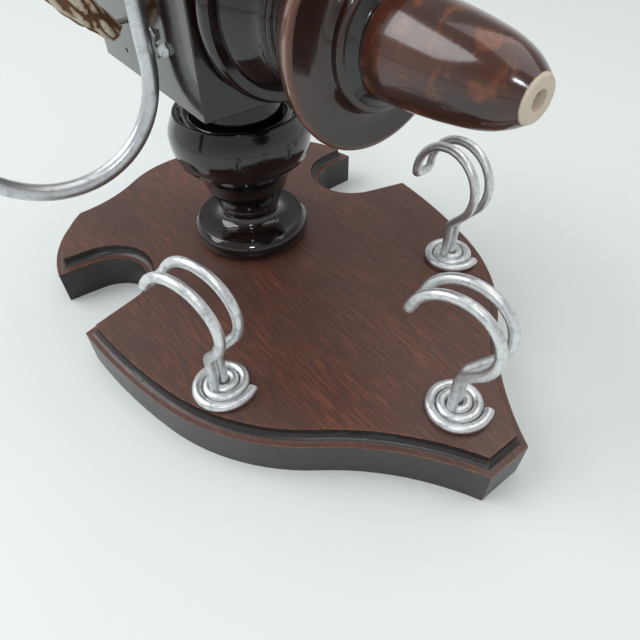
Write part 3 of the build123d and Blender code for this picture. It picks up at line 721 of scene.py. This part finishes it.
def fine_copy(node, cell):
    """A CAD node's shape as an even net of small faces, ready to be carved."""
    source = bpy.data.objects.new("carving_block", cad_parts[node].data.copy())
    scene.collection.objects.link(source)
    net = source.modifiers.new("net", "REMESH")
    net.mode = "VOXEL"
    net.voxel_size = cell
    graph = bpy.context.evaluated_depsgraph_get()
    bm = bmesh.new()
    bm.from_mesh(source.evaluated_get(graph).to_mesh())
    bpy.data.objects.remove(source)
    bmesh.ops.smooth_vert(bm, verts=bm.verts, factor=0.5,
                          use_axis_x=True, use_axis_y=True, use_axis_z=True)
    return bm


antler_look, tree, shader, place = new_look("antler")
inset = add(tree, "Attribute", {"attribute_name": "furrow"}).outputs["Fac"]
fine = add(tree, "TexNoise", Vector=place["Object"], Scale=420.0, Detail=5.0, Roughness=0.7)
furrowed = maths(tree, "ADD", inset, maths(tree, "MULTIPLY", fine.outputs[0], 0.55))
horn = ramp(tree, furrowed, (0.58, (0.68, 0.60, 0.48)), (0.88, (0.44, 0.30, 0.19)),
            (1.0, (0.15, 0.070, 0.034)))
dry = ramp(tree, fine.outputs[0], (0.3, 0.50), (0.75, 0.72))
finish_look(tree, shader, horn, dry, fine.outputs[0], 0.25 * MM, Specular_IOR_Level=0.4)

for side, sign in (("left", -1), ("right", 1)):
    low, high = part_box("antler_" + side)
    foot = Vector((low.x if sign > 0 else high.x, (low.y + high.y) / 2, low.z))
    lean = Vector((sign * antler_lean.x, 0, antler_lean.z)).normalized()
    antler_shape = fine_copy("antler_" + side, antler_grain)
    antler_shape.normal_update()
    furrow = antler_shape.verts.layers.float.new("furrow")
    carved = []
    for vert in antler_shape.verts:
        down = (vert.co - foot).dot(lean)
        outward = vert.co - foot - lean * down
        seed = outward / MM * 0.34 + lean * down / MM * 0.06 + Vector((sign * 7.0, 0, 3.0))
        ridge = abs(noise.noise(seed)) * 2.2
        pit = max(0.0, noise.noise(vert.co / MM * 0.62) - 0.18) * 1.1
        share = min(1.0, 1.0 - min(1.0, ridge) + pit)
        carved.append((vert, vert.co - vert.normal * antler_relief * share * 0.75, share))
    for vert, place_now, share in carved:
        vert.co = place_now
        vert[furrow] = share
    shade(antler_shape, radians(180))
    piece(antler_shape, "antler_" + side + "_carved", antler_look, "antler", "antler_" + side)

# ---------------------------------------------------------------- glue beads
# Blobs of clear glue squeezed out on the leg's side faces beside the rods, where they
# have set hard, shiny and a little cloudy.
glue_net = 0.22 * MM
glue_lumps = 0.7 * MM
glue_look, tree, shader, place = new_look("set_glue")
haze = add(tree, "TexNoise", Vector=place["Object"], Scale=700.0, Detail=3.0, Roughness=0.6)
cloud = ramp(tree, haze.outputs[0], (0.35, (0.60, 0.64, 0.64)), (0.7, (0.82, 0.87, 0.87)))
slick = ramp(tree, haze.outputs[0], (0.3, 0.05), (0.8, 0.16))
finish_look(tree, shader, cloud, slick, haze.outputs[0], 0.10 * MM, Specular_IOR_Level=0.6,
            Transmission_Weight=0.12, IOR=1.48)
for side in ("left", "right"):
    glue_shape = fine_copy("arm_glue_" + side, glue_net)
    glue_shape.normal_update()
    moved = [
        (v, v.co - v.normal * glue_lumps * abs(noise.noise(v.co / MM * 0.55)))
        for v in glue_shape.verts
    ]
    for vert, place_now in moved:
        vert.co = place_now
    shade(glue_shape, radians(180))
    piece(glue_shape, "set_glue_" + side, glue_look, "glue", "arm_glue_" + side)

# ---------------------------------------------------------------- hidden fixings
# Two countersunk steel screws up through the board into the post, a wooden dowel from the
# post into the leg, and a steel pin in each antler. They keep their turned shapes.
steel_look = metal_look("screw_steel", (0.56, 0.55, 0.53), (0.20, 0.18, 0.16), 380.0, 0.28, 0.5,
                        0.04 * MM)
dowel_look, tree, shader, place = new_look("dowel_beech")
upright = add(tree, "Mapping", {"vector_type": "TEXTURE"}, Vector=place["Object"],
              Rotation=(pi / 2, 0, 0)).outputs[0]
grain = use(tree, long_grain, Vector=upright, Streak_Scale=520.0, Figure_Scale=80.0)
beech = blend(tree, grain["Streaks"], (0.42, 0.27, 0.15), (0.60, 0.43, 0.27))
beech = blend(tree, maths(tree, "MULTIPLY", grain["Pores"], 0.6), beech, (0.24, 0.13, 0.07))
rough_wood = ramp(tree, grain["Streaks"], (0.3, 0.55), (0.7, 0.7))
finish_look(tree, shader, beech, rough_wood, grain["Streaks"], 0.06 * MM)


def dress(node, look):
    """Give a CAD node that stays in view its finish."""
    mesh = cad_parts[node].data
    mesh.materials.clear()
    mesh.materials.append(look)


for node in ("post_screws", "antler_pin_left", "antler_pin_right"):
    dress(node, steel_look)
dress("post_dowel", dowel_look)
